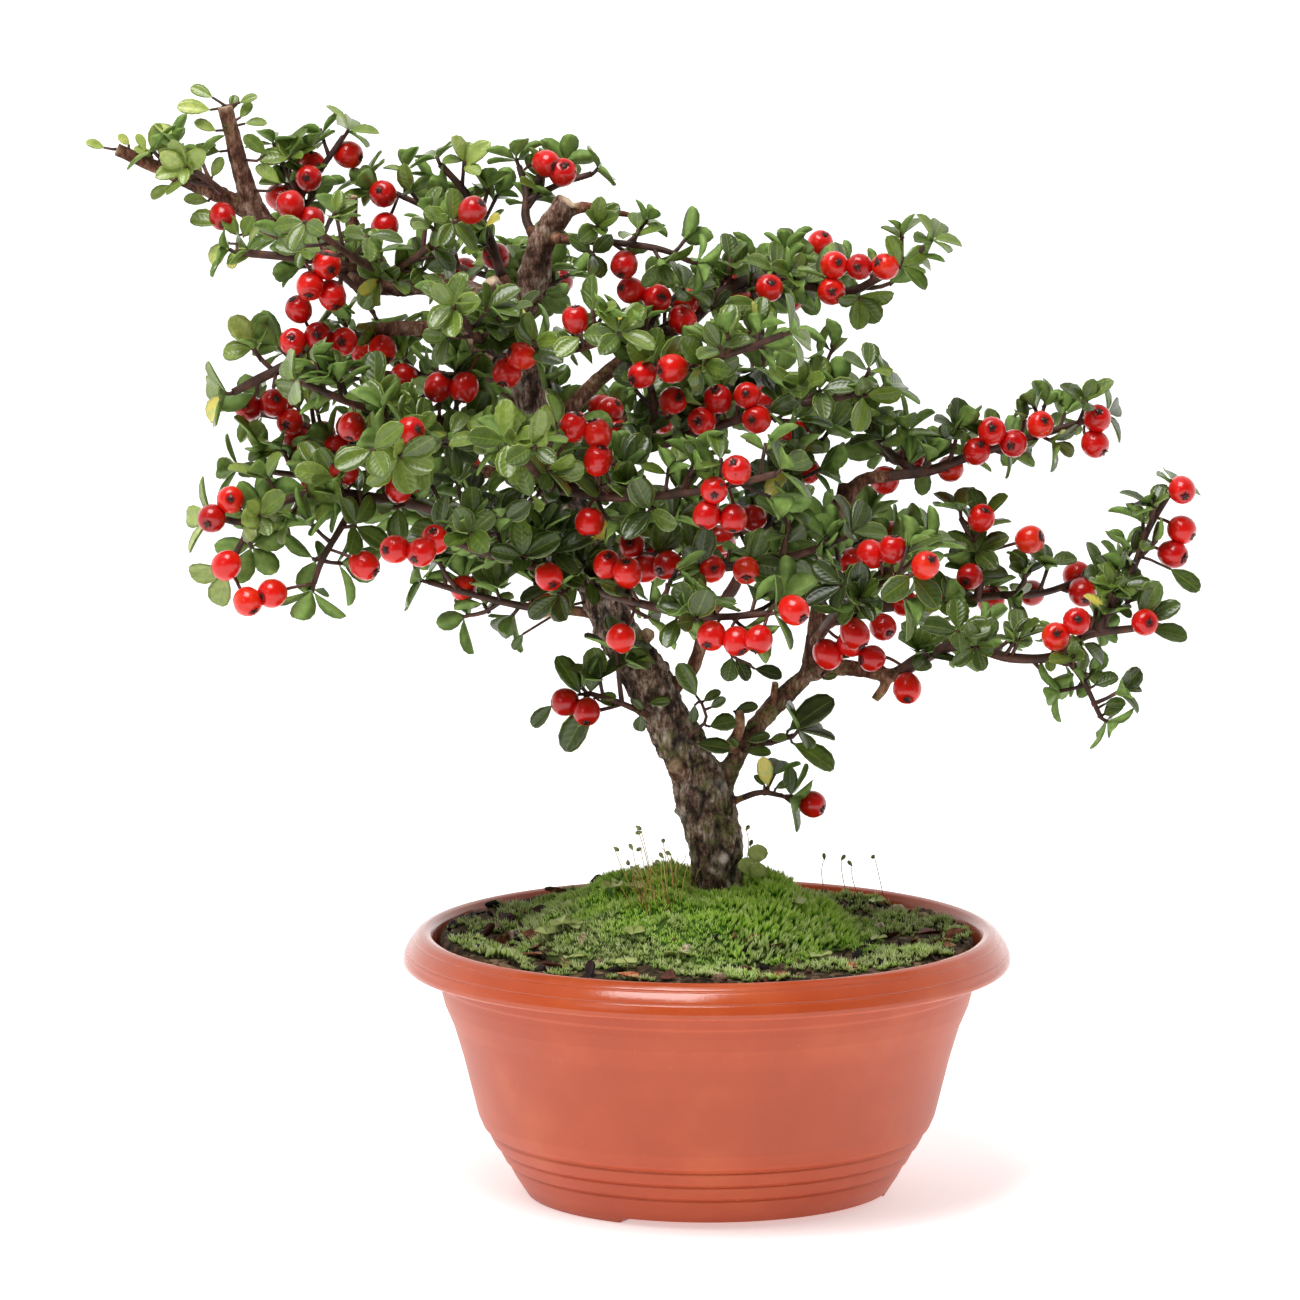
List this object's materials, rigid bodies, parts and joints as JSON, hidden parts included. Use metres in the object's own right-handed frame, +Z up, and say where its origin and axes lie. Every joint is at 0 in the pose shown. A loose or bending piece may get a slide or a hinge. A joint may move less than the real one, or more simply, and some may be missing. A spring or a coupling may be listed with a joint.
{
  "type": "cotoneaster bonsai",
  "caption": "Potted bonsai tree with a leaning trunk, tiered leafy branches, round red berries and a moss mound in a round plastic bowl.",
  "frame": {"origin": "centre of the whole tree and pot seen from above, on the surface that the pot stands on", "axes": "+Z up, +X to the right of the front view, -Y towards the viewer of the front"},
  "size_m": [0.3032, 0.188, 0.3068],
  "materials": {
    "pot_plastic": "satin",
    "soil": "matte",
    "moss": "matte",
    "bark": "matte",
    "leaf": "satin",
    "berry": "gloss"
  },
  "bodies": {
    "root": {"pot": "pot_plastic", "soil": "soil", "moss_cushion": "moss", "wood": "bark", "berries_twig_left": "berry", "berries_twig_right": "berry", "berries_left_upper": "berry", "berries_left_level": "berry", "berries_left_thick": "berry", "berries_left_end": "berry", "berries_left_mid": "berry", "berries_left_low": "berry", "berries_left_hang": "berry", "berries_left_front": "berry", "berries_front_left": "berry", "berries_front_crown": "berry", "berries_front_mid": "berry", "berries_front_right": "berry", "berries_front_low": "berry", "berries_front_low_left": "berry", "berries_right_low": "berry", "berries_right_front": "berry", "berries_right_end": "berry", "berries_right_arm": "berry", "berries_right_mid": "berry", "berries_right_upper": "berry", "berries_centre_upper": "berry", "branch_right_mid": "leaf", "branch_lower_right": "leaf", "branch_centre_right": "leaf", "branch_right_front": "leaf", "branch_right_back": "leaf", "branch_upper_right": "leaf", "branch_mid_right": "leaf", "branch_low_centre": "leaf", "branch_centre_stem": "leaf", "branch_left_tip": "leaf", "branch_left_crown": "leaf", "branch_left_level": "leaf", "branch_left_thick": "leaf", "branch_mid_left": "leaf", "branch_lower_left": "leaf", "branch_low_left": "leaf", "branch_top_left": "leaf", "branch_top_centre": "leaf", "branch_top_right": "leaf", "branch_front_low": "leaf", "branch_front_mid": "leaf", "branch_front_left": "leaf", "branch_front_crown": "leaf", "branch_front_upper_left": "leaf", "branch_front_upper_right": "leaf", "branch_back_low": "leaf", "branch_back_mid": "leaf", "branch_back_left": "leaf", "branch_back_crown": "leaf", "branch_back_upper_left": "leaf", "branch_twig_left": "leaf", "branch_twig_right": "leaf", "branch_twig_low": "leaf"}
  },
  "joints": []
}
